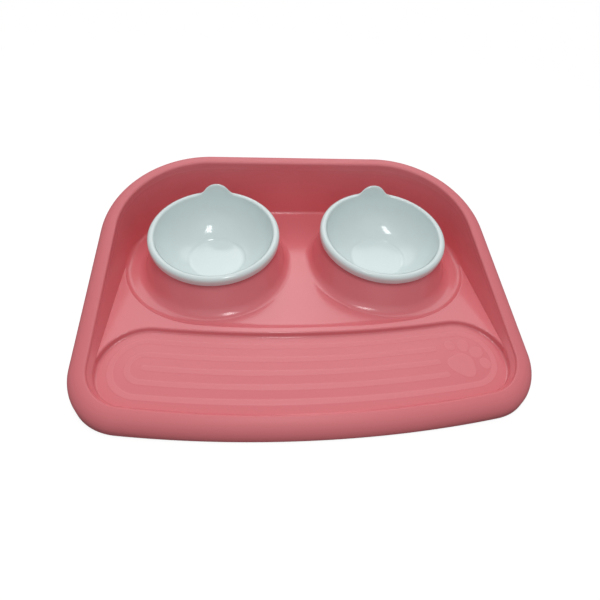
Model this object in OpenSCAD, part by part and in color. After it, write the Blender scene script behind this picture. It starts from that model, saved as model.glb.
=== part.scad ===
// Double pet bowl: one moulded spill tray with a sloping rolled rim, and two lift-out bowls.
// X runs to the right, Y to the back and Z up. The origin is on the table, under the middle.

/* [Tray plan] */
// Overall width of the tray
tray_w = 391; // [370:1:430]
// Overall depth of the tray, front to back
tray_d = 306.8; // [295:0.2:340]
// Radius of the two wide back corners, on the outside
back_corner_r = 104; // [90:1:112]
// Radius of the two front corners, on the outside
front_corner_r = 51; // [44:1:60]
// Radius of the bow that the front edge and the pool follow
bow_r = 1000; // [800:10:1600]

/* [Rim and walls] */
// Height of the rim above the table at the back edge
back_h = 84.6; // [72:0.2:100]
// Height of the rim above the table at the front edge
front_h = 10.6; // [10:0.1:14]
// Width of the rolled rim, from its outer face to the inner wall
rim_w = 16; // [15.2:0.1:18]
// Width of the round shoulder on the outside of the rim
shoulder_w = 12.4; // [9:0.2:12.8]
// Height of the round shoulder on the outside of the rim
shoulder_h = 8.6; // [6:0.1:8.8]
// Radius of the roll on the inside of the rim
inner_roll = 3; // [2.5:0.1:3.2]
// How far the inner wall leans in between the rim and its foot
wall_lean = 3.7; // [2.5:0.1:5]
// How far the low front wall leans in
front_lean = 1.2; // [1.1:0.1:2.2]
// Thickness of the moulded shell
wall_t = 2.2; // [1.8:0.1:2.6]
// Gap between the skirt and the table
skirt_gap = 1.2; // [0.8:0.1:2]

/* [Floor of the tray] */
// Height of the deck above the table
deck_h = 21; // [19:0.5:26]
// Width of the front pool, front to back
pool_w = 75.6; // [66:0.2:80]
// Drop from the deck to the pool at the pool's back edge
pool_back_drop = 4.5; // [3.5:0.1:5.5]
// Drop from the deck to the pool at the pool's front edge
pool_front_drop = 10; // [8.5:0.1:10.5]
// Drop from the deck to the basin around the bowls
basin_drop = 2.8; // [2:0.1:3.6]
// Width of the hollow slope inside the basin's edge
basin_slope_w = 6; // [4:0.5:8]
// Radius of the cove between the basin and the inner wall
basin_cove = 4; // [2:0.5:6]

/* [Pool pattern] */
// Width of each raised band
band_w = 6; // [4:0.5:8]
// Distance between the centrelines of neighbouring bands
band_pitch = 13.3; // [11:0.1:14]
// Height of the bands and the paw above the pool
relief_h = 0.6; // [0.4:0.1:1]
// Distance from the middle of the tray to the ends of the upper bands
leg_end_x = 113.5; // [90:0.5:118]
// Distance from the middle of the tray to the middle of the paw's pad
paw_x = 134.8; // [128:0.2:138]
// Distance of the paw's pad in front of the pool's middle line
paw_drop = 6.4; // [4:0.2:10]
// Radius of the paw's pad
pad_r = 10.5; // [9:0.5:12]
// Distance from the middle of the pad to the middle of each toe
toe_reach = 19.5; // [17:0.5:21]
// Half length of a middle toe
toe_len = 6.6; // [5:0.1:7]
// Half width of a middle toe
toe_w = 4.6; // [4:0.1:5.5]

/* [Bowls] */
// Distance between the middles of the two bowls
bowl_pitch = 170.4; // [165:0.2:180]
// Distance from the back of the tray to the middle of the bowls
bowl_back = 110.6; // [108:0.2:118]
// Height of the middle of the bowl's rim above the deck
bowl_rise = 35.8; // [33:0.2:40]
// Angle by which the bowls tip towards the front
bowl_tilt = 7; // [4:0.5:9]
// Inside radius at the bowl's rim
bowl_mouth_r = 57.8; // [55:0.2:60]
// Inside radius of the bowl's flat floor
bowl_floor_r = 29; // [25:0.5:33]
// Inside depth of the bowl
bowl_depth = 33.5; // [28:0.5:36]
// Radius of the curve of the bowl's side
bowl_curve_r = 40; // [36:0.5:60]
// Thickness of the bowl's wall
bowl_t = 2; // [1.6:0.1:2.6]
// Width of the bowl's rim, from its mouth to its outer face
bowl_rim_w = 6.6; // [6:0.1:8]
// Height of the outer lip that hangs over the collar
bowl_lip_h = 8; // [6:0.25:10]
// Thickness of the hanging lip
lip_t = 1.7; // [1.4:0.1:2.2]
// Height of the foot ring under the bowl
bowl_ring_h = 1.4; // [1:0.1:2]

/* [Bowl tab] */
// Height of the tab above the bowl's rim
tab_h = 9.3; // [7:0.1:12]
// Radius of the round top of the tab
tab_r = 15.5; // [12:0.5:18]
// Radius of the flare where the tab runs into the rim
tab_flare_r = 5.5; // [4:0.5:9]
// Thickness of the tab
tab_t = 2.6; // [2:0.1:3]

/* [Pedestals] */
// Thickness of the collar that carries the bowl
collar_t = 1.8; // [1.4:0.1:2.2]
// Gap between the bowl's hanging lip and the collar
collar_gap = 0.4; // [0.3:0.05:0.6]
// Depth of the collar below the bowl's rim
collar_depth = 14; // [12:0.5:18]
// Radius of the pedestal at the basin floor, before its fillet
pedestal_r = 72; // [70:0.5:75]
// Length of the fillet on each side of the pedestal's foot
pedestal_fillet = 7; // [4:0.5:8]

/* [Feet and underside] */
// Radius of a rubber foot
foot_r = 7; // [5:0.5:9]
// Height of a rubber foot
foot_h = 3; // [2.4:0.1:4]
// Radius of the edge of a rubber foot
foot_edge = 0.6; // [0.3:0.1:1]
// Depth of the recess that holds a foot
foot_recess = 1.6; // [1.2:0.1:2]
// Gap around a foot in its recess
foot_gap = 0.2; // [0.1:0.05:0.3]
// Distance from the tray's outer face to the middle of a foot
foot_inset = 33; // [30:1:38]
// Thickness of the stiffening ribs underneath
rib_t = 1.8; // [1.4:0.1:2.4]
// Drop of the ribs below the floor that they carry
rib_drop = 3.5; // [2:0.5:5]
// Distance between the ribs under the pool
rib_pitch = 62; // [50:1:66]

/* [Hidden] */
$fn = 96;

// Colours of the two plastics and the rubber
tray_pink = [0.85, 0.47, 0.50];
bowl_white = [0.82, 0.88, 0.88];
foot_grey = [0.55, 0.55, 0.55];

// Least height of the slope at the foot of the inner wall
lip_foot = 1;
// Wall height at which the wall has its full lean
lean_full_h = 8;
// Drop of the inner wall's lower end below the floor that it carries
wall_tail = 1;
// Overrun of every cut
overrun = 1;
// Least radius of a cove, where the wall has none
least_cove = 0.3;
// Distance over which the cove grows along the side wall
cove_run = 16;
// Distance over which the basin's slope dies out along the side wall
tail_run = 24;
// Depth by which a swept face ends under the floor that it runs into
tuck = 0.1;
// Crown of the bowl's rim and radius of its rounded edges
bowl_edge_r = 1;
// Width of the foot ring under the bowl
bowl_ring_t = 2.4;
// Wall around a foot's recess
boss_wall = 2;
// How far the lower band runs past the upper ones
lower_leg_extra = 4.5;
// Shift of the basin's rounds in front of the bowls
basin_shift = 1.2;

// Shares of the toes' places and sizes, from the first toe round to the fourth
toe_angle_shares = [0.925, 0.31, -0.31, -0.925];
toe_len_shares = [0.78, 1, 1, 0.76];
toe_w_shares = [0.9, 1, 1.05, 1.05];
// Direction in which the paw points, and half the fan of its toes
paw_angle = 54;
toe_fan = 56;
// How far the pad's three lobes swell, as a share of its radius
pad_lobe_share = 0.09;
// Length of the pad across its pointing direction, as a share of its radius
pad_wide_share = 1.08;
// Height of a rib's lower end above the table, as a share of the deck's height
rib_floor_share = 0.28;

// Steps of the curves of the plan, the rolls and the pedestals
bow_steps = 5;
front_steps = 9;
back_steps = 13;
roll_steps = 6;
cove_steps = 3;
tail_steps = 3;
ring_steps = 60;
curve_steps = 10;

half_w = tray_w / 2;
half_d = tray_d / 2;
bowl_x = bowl_pitch / 2;
bowl_y = half_d - bowl_back;
bowl_z = deck_h + bowl_rise;
rim_slope = (back_h - front_h) / tray_d;
foot_line_x = half_w - rim_w - wall_lean;
plate_inset = rim_w + (wall_lean + front_lean - wall_t) / 2;

pool_front_y = -half_d + rim_w + front_lean;
pool_mid_y = pool_front_y + pool_w / 2;
pool_back_y = pool_front_y + pool_w;
pool_end_x = foot_line_x - pool_w / 2;
pool_angle = atan((pool_front_drop - pool_back_drop) / pool_w);

basin_floor = deck_h - basin_drop;
basin_r = foot_line_x - bowl_x;
basin_y = bowl_y - basin_shift;
basin_swing = asin(bowl_x / (bow_r - basin_r));
basin_bow_y = basin_y + (bow_r - basin_r) * cos(basin_swing);

bowl_out_r = bowl_mouth_r + bowl_rim_w;
collar_r = bowl_out_r - lip_t - collar_gap;
front_swing = asin((half_w - front_corner_r) / (bow_r - front_corner_r));
front_corner_y = -half_d + bow_r - (bow_r - front_corner_r) * cos(front_swing);

// Points on an arc around a centre
function arc_points(centre, r, from, to, steps) =
    [for (i = [0:steps]) let (a = from + (to - from) * i / steps) centre + r * [cos(a), sin(a)]];

// Stations along the right half of the outer plan: each is a point and its inward normal
function arc_stations(centre, r, from, to, steps) =
    [for (i = [0:steps]) let (a = from + (to - from) * i / steps)
        [centre + r * [cos(a), sin(a)], -[cos(a), sin(a)]]];
function side_stations() =
    [for (y = [pool_back_y - wall_t, pool_back_y + wall_t, basin_y - cove_run, basin_y]) [[half_w, y], [-1, 0]]];
right_stations = concat(
    arc_stations([0, bow_r - half_d], bow_r, -90, -90 + front_swing, bow_steps),
    [for (i = [1:front_steps]) let (a = -90 + front_swing + (90 - front_swing) * i / front_steps)
        [[half_w - front_corner_r, front_corner_y] + front_corner_r * [cos(a), sin(a)], -[cos(a), sin(a)]]],
    side_stations(),
    arc_stations([half_w - back_corner_r, half_d - back_corner_r], back_corner_r, 0, 90, back_steps),
    [[[0, half_d], [0, -1]]]);
left_stations = [for (i = [len(right_stations) - 2:-1:1]) let (s = right_stations[i])
    [[-s[0][0], s[0][1]], [-s[1][0], s[1][1]]]];
stations = concat(right_stations, left_stations);

function plan(inset) = [for (s = stations) s[0] + inset * s[1]];

// Heights of the rim and the floor along the tray
function rim_z(y) = front_h + rim_slope * (y + half_d);
function pool_z(y) = deck_h - pool_back_drop + (y - pool_back_y) * tan(pool_angle);
function basin_share(y) = max(0, min(1, (y - basin_y + cove_run) / cove_run));
function floor_z(y) =
    y < pool_back_y ? pool_z(y) : deck_h - basin_drop * basin_share(y);
function wall_low_z(y) =
    min(basin_floor, y < pool_back_y ? pool_z(y) : basin_floor) - wall_t - wall_tail;
function cove_r(y) = least_cove + (basin_cove - least_cove) * basin_share(y);

// One point of the tray's section: inset from the outer face, at a height over the table
function at(s, inset, z) = [s[0][0] + inset * s[1][0], s[0][1] + inset * s[1][1], z];
function y_at(s, inset) = s[0][1] + inset * s[1][1];

// A quarter round of the section that follows the sloping rim, with its two radii
function roll(s, inset, run, rise, drop, from, to) =
    [for (i = [0:roll_steps])
        let (a = from + (to - from) * i / roll_steps, t = inset + run * cos(a))
        at(s, t, rim_z(y_at(s, t)) - drop + rise * sin(a))];

// The whole closed section of rim and walls at one station
function section(s) =
    let (top_y = y_at(s, rim_w),
         floor_h = floor_z(top_y),
         wall_top = max(rim_z(top_y) - inner_roll, floor_h + lip_foot),
         lean = front_lean + (wall_lean - front_lean) * max(0, min(1, (wall_top - floor_h) / lean_full_h)),
         foot = rim_w + lean,
         low = wall_low_z(top_y),
         cove = cove_r(top_y),
         cove_top = floor_h + cove - tuck,
         knee = top_y < pool_back_y ? max(cove_top, min(deck_h, wall_top - lean)) : cove_top,
         inner_drop = rim_z(top_y) - wall_top,
         inside_drop = max(inner_drop - wall_t, lip_foot / 10))
    concat(
        [at(s, 0, skirt_gap)],
        roll(s, shoulder_w, shoulder_w, shoulder_h, shoulder_h, 180, 90),
        roll(s, rim_w - inner_roll, inner_roll, inner_drop, inner_drop, 90, 0),
        [at(s, foot, knee)],
        [for (i = [1:cove_steps])
            let (a = 90 * i / cove_steps)
            at(s, foot + cove * (1 - cos(a)), cove_top - cove * sin(a))],
        [at(s, foot + cove, low + wall_tail),
         at(s, foot, low),
         at(s, foot - wall_t, low),
         at(s, foot - wall_t, knee)],
        roll(s, rim_w - inner_roll, inner_roll - wall_t, inside_drop, inner_drop, 0, 90),
        roll(s, shoulder_w, shoulder_w - wall_t, shoulder_h - wall_t, shoulder_h, 90, 180),
        [at(s, wall_t, skirt_gap)]);

// A closed ring of sections as one solid
module swept_ring(sections) {
    ring = len(sections);
    edge = len(sections[0]);
    points = [for (s = sections) each s];
    faces = [for (i = [0:ring - 1], j = [0:edge - 1], k = [0, 1])
        let (a = i * edge + j,
             b = i * edge + (j + 1) % edge,
             c = ((i + 1) % ring) * edge + (j + 1) % edge,
             d = ((i + 1) % ring) * edge + j)
        k == 0 ? [a, b, c] : [a, c, d]];
    polyhedron(points = points, faces = faces, convexity = 10);
}

// An open run of sections as one solid, with its two ends closed
module swept_strip(sections) {
    last = len(sections) - 1;
    edge = len(sections[0]);
    points = [for (s = sections) each s];
    sides = [for (i = [0:last - 1], j = [0:edge - 1], k = [0, 1])
        let (a = i * edge + j,
             b = i * edge + (j + 1) % edge,
             c = b + edge,
             d = a + edge)
        k == 0 ? [a, b, c] : [a, c, d]];
    caps = [[for (j = [edge - 1:-1:0]) j], [for (j = [0:edge - 1]) last * edge + j]];
    polyhedron(points = points, faces = concat(sides, caps), convexity = 10);
}

// Outline of a bowed strip with round ends: the pool, and the bands inside it
function bowed_strip(half_width, end_x) =
    let (swing = asin(end_x / bow_r),
         hub = [0, pool_mid_y + bow_r],
         right = hub + bow_r * [sin(swing), -cos(swing)],
         left = hub + bow_r * [-sin(swing), -cos(swing)])
    concat(
        arc_points(hub, bow_r + half_width, -90 - swing, -90 + swing, 2 * bow_steps),
        arc_points(right, half_width, -90 + swing, 90 + swing, 2 * curve_steps),
        arc_points(hub, bow_r - half_width, -90 + swing, -90 - swing, 2 * bow_steps),
        arc_points(left, half_width, 90 - swing, 270 - swing, 2 * curve_steps));

// Everything in front of the deck's front edge
module pool_zone(grow) {
    swing = asin(pool_end_x / bow_r);
    polygon(bowed_strip(pool_w / 2 + grow, pool_end_x));
    translate([-half_w, -tray_d])
        square([tray_w, tray_d + pool_mid_y + bow_r * (1 - cos(swing))]);
}

// Everything inside the basin's edge
module basin_zone(grow) {
    for (side = [-1, 1])
        translate([side * bowl_x, basin_y])
            circle(basin_r + grow);
    polygon(concat(
        arc_points([0, basin_bow_y], bow_r + grow, -90 - basin_swing, -90 + basin_swing, 2 * bow_steps),
        [[bowl_x, basin_y + grow], [-bowl_x, basin_y + grow]]));
    translate([-half_w, basin_y])
        square([tray_w, half_d]);
}

module slab(bottom, top) {
    translate([0, 0, bottom])
        linear_extrude(top - bottom)
            children();
}

// Places its children in the sloping plane of the pool's floor
module on_pool() {
    translate([0, pool_back_y, deck_h - pool_back_drop])
        rotate([pool_angle, 0, 0])
            translate([0, -pool_back_y, 0])
                children();
}

module deck() {
    slab(deck_h - wall_t, deck_h)
        difference() {
            polygon(plan(plate_inset));
            pool_zone(0);
            basin_zone(0);
        }
}

module pool() {
    intersection() {
        slab(skirt_gap, deck_h)
            intersection() {
                polygon(plan(plate_inset));
                pool_zone(wall_t / 2);
            }
        on_pool()
            translate([-half_w, -tray_d, -wall_t])
                cube([tray_w, 2 * tray_d, wall_t]);
    }
    slab(pool_z(pool_mid_y) - wall_t, deck_h - wall_t / 2)
        intersection() {
            polygon(plan(plate_inset));
            difference() {
                polygon(bowed_strip(pool_w / 2 + wall_t, pool_end_x));
                pool_zone(0);
            }
        }
}

// A raised loop: the strip's outline less its inside
module band_loop(middle) {
    difference() {
        polygon(bowed_strip(middle + band_w / 2, pool_end_x));
        polygon(bowed_strip(middle - band_w / 2, pool_end_x));
    }
}

// The round end of a band, which lies off the pool's middle line by an offset
module band_end(offset_y, end_x) {
    translate([end_x, pool_mid_y + offset_y + bow_r - sqrt(pow(bow_r, 2) - pow(end_x, 2))])
        circle(band_w / 2);
}

module left_of(end_x) {
    translate([-half_w, -tray_d])
        square([half_w + end_x, 2 * tray_d]);
}

module bands() {
    band_loop(2 * band_pitch);
    intersection() {
        band_loop(band_pitch);
        union() {
            left_of(leg_end_x);
            translate([-half_w, -tray_d])
                square([half_w + leg_end_x + lower_leg_extra, tray_d + pool_mid_y]);
        }
    }
    intersection() {
        polygon(bowed_strip(band_w / 2, pool_end_x));
        left_of(leg_end_x);
    }
    band_end(band_pitch, leg_end_x);
    band_end(0, leg_end_x);
    band_end(-band_pitch, leg_end_x + lower_leg_extra);
}

// Outline of the pad, a round triangle whose lobes swell
function pad_outline() =
    [for (i = [0:5 * 9 - 1])
        let (a = 360 * i / (5 * 9), r = pad_r * (1 + pad_lobe_share * cos(3 * a)))
        r * [cos(a), pad_wide_share * sin(a)]];

function toe_outline(len, wide) =
    [for (i = [0:23]) let (a = 360 * i / 24) [len * cos(a), wide * sin(a)]];

module paw() {
    translate([paw_x, pool_mid_y + bow_r - sqrt(pow(bow_r, 2) - pow(paw_x, 2)) - paw_drop])
        rotate(paw_angle) {
            polygon(pad_outline());
            for (i = [0:3])
                rotate(toe_fan * toe_angle_shares[i])
                    translate([toe_reach, 0])
                        polygon(toe_outline(toe_len * toe_len_shares[i], toe_w * toe_w_shares[i]));
        }
}

module relief() {
    on_pool()
        slab(-wall_t / 2, relief_h) {
            bands();
            paw();
        }
}

// Stations along the right half of the basin's edge: point, outward normal and share of height
basin_right = concat(
    [for (i = [0:bow_steps]) let (a = -90 + basin_swing * i / bow_steps)
        [[0, basin_bow_y] + bow_r * [cos(a), sin(a)], [cos(a), sin(a)], 1]],
    [for (i = [1:back_steps]) let (a = -90 + basin_swing + (90 - basin_swing) * i / back_steps)
        [[bowl_x, basin_y] + basin_r * [cos(a), sin(a)], [cos(a), sin(a)], 1]],
    [for (i = [1:tail_steps])
        let (y = basin_y + tail_run * i / tail_steps,
             r = back_corner_r - rim_w - wall_lean,
             a = asin(max(0, y - half_d + back_corner_r) / r))
        [[half_w - back_corner_r + r * cos(a), y], [cos(a), sin(a)], 1 - i / (tail_steps + 1)]]);
basin_left = [for (i = [len(basin_right) - 1:-1:1]) let (s = basin_right[i])
    [[-s[0][0], s[0][1]], [-s[1][0], s[1][1]], s[2]]];

// The hollow slope inside the basin's edge, which dies out along the side walls
module basin_slope() {
    sections = [for (s = concat(basin_left, basin_right))
        let (w = basin_slope_w * s[2],
             h = basin_drop * s[2],
             r = (w * w + h * h) / (2 * h),
             sweep = asin(w / r))
        [for (p = concat(
            [[wall_t / 2, basin_floor - wall_t / 2], [wall_t / 2, basin_floor + h - tuck]],
            [for (i = [0:cove_steps])
                let (a = sweep * (1 - i / cove_steps))
                [r * sin(a) - w + wall_t / 4, basin_floor + r * (1 - cos(a)) - tuck]],
            [[-w, basin_floor - wall_t / 2]]))
            [s[0][0] + p[0] * s[1][0], s[0][1] + p[0] * s[1][1], p[1]]]];
    swept_strip(sections);
}

module basin() {
    slab(basin_floor - wall_t, basin_floor)
        difference() {
            intersection() {
                polygon(plan(plate_inset));
                basin_zone(wall_t / 2);
            }
            for (side = [-1, 1])
                translate([side * bowl_x, bowl_y])
                    circle(pedestal_r + pedestal_fillet / 3);
        }
    slab(basin_floor - wall_t / 2, deck_h - wall_t / 2)
        intersection() {
            polygon(plan(plate_inset));
            difference() {
                basin_zone(wall_t);
                basin_zone(0);
            }
        }
}

module pedestal(side) {
    top_r = collar_r - collar_t / 4;
    top_in_r = collar_r - 3 * collar_t / 4;
    top_drop = bowl_lip_h + wall_t / 2;
    foot_in_r = pedestal_r - wall_t;
    sections = [for (i = [0:ring_steps - 1])
        let (a = 360 * i / ring_steps,
             out = [cos(a), sin(a), 0],
             middle = [side * bowl_x, bowl_y, bowl_z],
             across = [cos(a), sin(a) * cos(bowl_tilt), sin(a) * sin(bowl_tilt)],
             down = [0, sin(bowl_tilt), -cos(bowl_tilt)],
             top = middle + top_r * across + top_drop * down,
             top_in = middle + top_in_r * across + (top_drop + wall_t / 4) * down,
             corner = [side * bowl_x, bowl_y, basin_floor - tuck] + pedestal_r * out,
             rise = top - corner,
             up = corner + pedestal_fillet * rise / norm(rise),
             away = corner + pedestal_fillet * out,
             under = [0, 0, tuck - wall_t / 2])
        concat(
            [top],
            [for (k = [0:curve_steps / 2])
                let (t = k / (curve_steps / 2))
                (1 - t) * (1 - t) * up + 2 * t * (1 - t) * corner + t * t * away],
            [away + under,
             corner - wall_t * out + under,
             up - 1.1 * wall_t * out,
             top_in])];
    swept_ring([for (s = sections) [for (i = [len(s) - 1:-1:0]) s[i]]]);
}

module at_bowl(side) {
    translate([side * bowl_x, bowl_y, bowl_z])
        rotate([bowl_tilt, 0, 0])
            children();
}

module collar(side) {
    at_bowl(side)
        rotate_extrude()
            translate([collar_r - collar_t, -collar_depth])
                square([collar_t, collar_depth - bowl_t]);
}

// The middle of a foot, on the diagonal of its corner
function foot_place(side, back) =
    back ? [side * (half_w - back_corner_r + (back_corner_r - foot_inset) * cos(45)),
            half_d - back_corner_r + (back_corner_r - foot_inset) * sin(45)]
         : [side * (half_w - front_corner_r + (front_corner_r - foot_inset) * cos(45)),
            front_corner_y - (front_corner_r - foot_inset) * sin(45)];
function floor_over(p) = p[1] < pool_back_y ? pool_z(p[1]) : basin_floor;

module bosses() {
    for (side = [-1, 1], back = [false, true]) {
        p = foot_place(side, back);
        translate([p[0], p[1], foot_h - foot_recess])
            difference() {
                cylinder(h = floor_over(p) - wall_t / 2 - foot_h + foot_recess, r = foot_r + foot_gap + boss_wall);
                translate([0, 0, -overrun])
                    cylinder(h = overrun + foot_recess, r = foot_r + foot_gap);
            }
    }
}

module ribs() {
    low = deck_h * rib_floor_share;
    for (x = [-2 * rib_pitch, -rib_pitch, 0, rib_pitch, 2 * rib_pitch]) {
        back = pool_back_y + bow_r - sqrt(pow(bow_r, 2) - pow(x, 2)) + wall_t / 2;
        front = -half_d + bow_r - sqrt(pow(bow_r, 2) - pow(x, 2)) + rim_w + front_lean - wall_t;
        intersection() {
            translate([x - rib_t / 2, front, low])
                cube([rib_t, back - front, deck_h]);
            on_pool()
                translate([-half_w, -tray_d, -wall_t / 2 - rib_drop])
                    cube([tray_w, 2 * tray_d, rib_drop]);
        }
    }
    translate([-rib_t / 2, pool_back_y + wall_t / 2, basin_floor - wall_t / 2 - rib_drop])
        cube([rib_t, half_d - rim_w - wall_lean + wall_t / 2 - pool_back_y - wall_t / 2, rib_drop]);
}

module tray() {
    color(tray_pink) {
        swept_ring([for (s = stations) section(s)]);
        deck();
        pool();
        relief();
        basin();
        basin_slope();
        for (side = [-1, 1]) {
            pedestal(side);
            collar(side);
        }
        bosses();
        ribs();
    }
}

// The curve of the bowl's side: the middle of the arc through the floor's edge and the mouth
bowl_low = [bowl_floor_r, -bowl_depth];
bowl_high = [bowl_mouth_r, -bowl_edge_r];
bowl_chord = bowl_high - bowl_low;
bowl_hub = (bowl_low + bowl_high) / 2
    + sqrt(pow(bowl_curve_r, 2) - pow(norm(bowl_chord) / 2, 2)) * [-bowl_chord[1], bowl_chord[0]] / norm(bowl_chord);
function angle_of(p) = atan2(p[1] - bowl_hub[1], p[0] - bowl_hub[0]);

// Half section of the bowl: inside from the middle, over the rim, down the lip, back underneath
function bowl_section() =
    let (from = angle_of(bowl_low),
         to = angle_of(bowl_high),
         under_r = bowl_curve_r + bowl_t,
         seat_r = bowl_mouth_r + bowl_t,
         under_top = bowl_hub[1] - sqrt(pow(under_r, 2) - pow(seat_r - collar_gap - bowl_hub[0], 2)),
         ring_r = bowl_floor_r + bowl_t / 2)
    concat(
        [[0, -bowl_depth]],
        arc_points(bowl_hub, bowl_curve_r, from, to, curve_steps),
        arc_points([bowl_mouth_r + bowl_edge_r, -bowl_edge_r], bowl_edge_r, 180, 90, 3),
        arc_points([bowl_out_r - 2 * bowl_edge_r, -2 * bowl_edge_r], 2 * bowl_edge_r, 90, 0, 5),
        arc_points([bowl_out_r - lip_t / 2, -bowl_lip_h + lip_t / 2], lip_t / 2, 0, -180, 4),
        [[bowl_out_r - lip_t, -bowl_t]],
        [[seat_r - collar_gap, -bowl_t]],
        arc_points(bowl_hub, under_r,
            atan2(-bowl_t - bowl_edge_r - bowl_hub[1], sqrt(pow(under_r, 2) - pow(bowl_t + bowl_edge_r + bowl_hub[1], 2))),
            atan2(-bowl_depth - bowl_t / 2 - bowl_hub[1], ring_r - bowl_hub[0]), curve_steps),
        [[ring_r, -bowl_depth - bowl_t - bowl_ring_h],
         [ring_r - bowl_ring_t, -bowl_depth - bowl_t - bowl_ring_h],
         [ring_r - bowl_ring_t, -bowl_depth - bowl_t],
         [0, -bowl_depth - bowl_t]]);

// Face of the tab: a round top with a flare on each side, down to just under the rim
function tab_outline() =
    let (hub = tab_h - tab_r,
         flare_x = sqrt(pow(tab_r + tab_flare_r, 2) - pow(tab_flare_r - hub, 2)),
         turn = atan2(tab_flare_r - hub, flare_x))
    concat(
        [[-flare_x, -bowl_t / 2], [flare_x, -bowl_t / 2]],
        arc_points([flare_x, tab_flare_r], tab_flare_r, -90, turn - 180, curve_steps / 2),
        arc_points([0, hub], tab_r, turn, 180 - turn, 2 * curve_steps),
        arc_points([-flare_x, tab_flare_r], tab_flare_r, -turn, -90, curve_steps / 2));

module bowl(side) {
    lean = angle_of(bowl_high) + 90;
    top_r = bowl_mouth_r + tab_h / tan(lean);
    color(bowl_white)
        at_bowl(side) {
            rotate_extrude()
                polygon(bowl_section());
            intersection() {
                rotate_extrude()
                    polygon([[bowl_mouth_r + bowl_t / 10, -bowl_t / 2],
                             [bowl_mouth_r + tab_t, -bowl_t / 2],
                             [top_r + tab_t, tab_h],
                             [top_r, tab_h]]);
                rotate([90, 0, 0])
                    translate([0, 0, -2 * bowl_mouth_r])
                        linear_extrude(2 * bowl_mouth_r)
                            polygon(tab_outline());
            }
        }
}

module foot(side, back) {
    p = foot_place(side, back);
    color(foot_grey)
        translate([p[0], p[1], 0])
            rotate_extrude()
                polygon(concat(
                    [[0, 0]],
                    arc_points([foot_r - foot_edge, foot_edge], foot_edge, -90, 0, 4),
                    [[foot_r, foot_h], [0, foot_h]]));
}

tray();
bowl(-1);  // bowl_left
bowl(1);  // bowl_right
foot(-1, false);  // foot_front_left
foot(1, false);  // foot_front_right
foot(-1, true);  // foot_back_left
foot(1, true);  // foot_back_right
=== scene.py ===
"""Double pet bowl on a spill tray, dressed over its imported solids.

Lengths are in millimetres until a mesh, a light or the camera is made. Heights are above the table.
"""

import math

import bpy
import numpy as np
from mathutils import Matrix, Vector
from mathutils.geometry import delaunay_2d_cdt


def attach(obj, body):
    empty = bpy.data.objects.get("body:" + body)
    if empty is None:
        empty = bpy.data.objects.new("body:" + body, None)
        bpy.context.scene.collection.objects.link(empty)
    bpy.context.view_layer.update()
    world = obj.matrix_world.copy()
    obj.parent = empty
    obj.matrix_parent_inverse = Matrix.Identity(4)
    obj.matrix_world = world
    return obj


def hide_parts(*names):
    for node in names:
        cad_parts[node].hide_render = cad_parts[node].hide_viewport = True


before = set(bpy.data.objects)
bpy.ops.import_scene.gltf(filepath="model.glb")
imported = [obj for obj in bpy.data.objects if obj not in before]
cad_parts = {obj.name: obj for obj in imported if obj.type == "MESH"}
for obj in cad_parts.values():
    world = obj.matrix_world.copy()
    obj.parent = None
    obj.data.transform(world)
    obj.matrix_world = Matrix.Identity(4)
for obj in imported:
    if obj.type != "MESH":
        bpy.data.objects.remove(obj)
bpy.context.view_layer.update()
MM = 0.001

# The tray's shell, in the sizes of its solid
TRAY_W, TRAY_D = 391.0, 306.8
BACK_CORNER_R, FRONT_CORNER_R, BOW_R = 104.0, 51.0, 1000.0
BACK_H, FRONT_H = 84.6, 10.6
RIM_W, SHOULDER_W, SHOULDER_H = 16.0, 12.4, 8.6
DECK_H, POOL_W, POOL_BACK_DROP, POOL_FRONT_DROP = 21.0, 75.6, 4.5, 10.0
BASIN_DROP, BASIN_SLOPE_W, BASIN_SHIFT = 2.8, 6.0, 1.2
# The inner wall leans in by the full amount where it is tall, and by the front one where it is lowest
WALL_T, WALL_LEAN, FRONT_LEAN, LEAN_FULL_H = 2.2, 3.7, 1.2, 8.0
# How far that wall runs on below its floor, its least height, and the skirt's gap to the table
WALL_TAIL, LEAST_WALL_H, SKIRT_GAP = 1.0, 1.0, 1.2

# The pool's pattern: a closed band, a hairpin band inside it and a straight one in the middle
BAND_W, BAND_PITCH, LEG_END_X, LOWER_LEG_EXTRA = 6.0, 13.3, 113.5, 4.5
# The paw beside the bands, with a pad and toes a little larger than the solid's. Angles are in degrees
PAW_X, PAW_DROP, PAW_ANGLE, TOE_FAN = 134.8, 6.4, 54.0, 56.0
PAD_R, PAD_WIDE_SHARE, PAD_LOBE_SHARE = 11.8, 1.08, 0.09
TOE_REACH, TOE_LEN, TOE_W = 21.0, 7.1, 5.7
TOE_ANGLE_SHARES = (0.925, 0.31, -0.31, -0.925)
TOE_LEN_SHARES = (0.78, 1, 1, 0.76)
TOE_W_SHARES = (0.9, 1, 1.05, 1.05)

# The bowls and what carries them, in the sizes of their solids. The tilt is in degrees
BOWL_PITCH, BOWL_BACK, BOWL_RISE, BOWL_TILT = 170.4, 110.6, 35.8, 7.0
MOUTH_R, MOUTH_EDGE, FLOOR_R, BOWL_DEPTH, CURVE_R, BOWL_T = 57.8, 1.0, 29.0, 33.5, 40.0, 2.0
BOWL_RIM_W, LIP_H, LIP_T, RING_H, RING_T = 6.6, 8.0, 1.7, 1.4, 2.4
TAB_H, TAB_R, TAB_T = 9.3, 15.5, 2.6
COLLAR_T, COLLAR_GAP, COLLAR_DEPTH, PEDESTAL_R = 1.8, 0.4, 14.0, 72.0

# The feet, their bosses and the ribs under the floor
FOOT_R, FOOT_H, FOOT_RECESS, FOOT_GAP, FOOT_INSET, BOSS_WALL = 7.0, 3.0, 1.6, 0.2, 33.0, 2.0
RIB_T, RIB_DROP, RIB_PITCH, POOL_RIBS = 1.8, 3.5, 62.0, 5

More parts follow.
